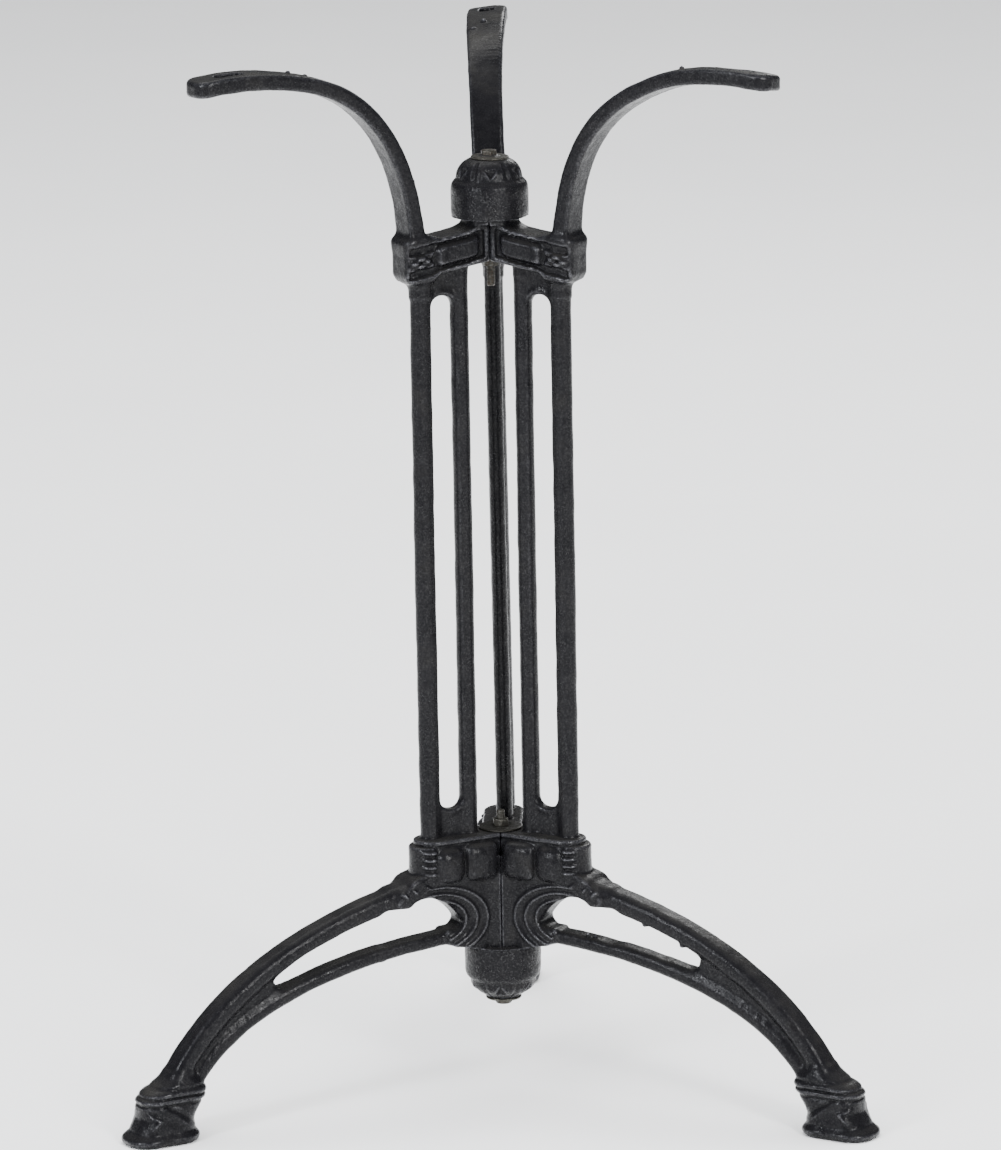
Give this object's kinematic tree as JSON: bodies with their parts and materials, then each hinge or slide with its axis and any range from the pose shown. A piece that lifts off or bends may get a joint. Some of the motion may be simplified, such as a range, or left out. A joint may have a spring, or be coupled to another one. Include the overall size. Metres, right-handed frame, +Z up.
{
  "type": "table base",
  "caption": "Black cast-iron pedestal base for a cafe table: three scrolled castings clamped back to back by a cap and bolt above and below.",
  "frame": {"origin": "on the column's upright axis at floor level", "axes": "+Z up along the column, +Y along the back casting's leg and arm, +X to the right; the other two castings run at 210 and 330 degrees"},
  "size_m": [0.5128, 0.4479, 0.72],
  "materials": {
    "black_cast_iron": "satin black paint over sand-cast iron, with a fine grain and rubbed edges",
    "dull_steel": "dull, slightly rusty zinc-plated steel"
  },
  "bodies": {
    "root": {"casting_back": "black_cast_iron", "casting_left": "black_cast_iron", "casting_right": "black_cast_iron", "top_cap": "black_cast_iron", "top_bolt": "dull_steel", "top_washer": "dull_steel", "top_nut": "dull_steel", "bottom_cap": "black_cast_iron", "bottom_bolt": "dull_steel", "bottom_washer": "dull_steel", "hub_washer": "dull_steel", "bottom_nut": "dull_steel"}
  },
  "joints": []
}
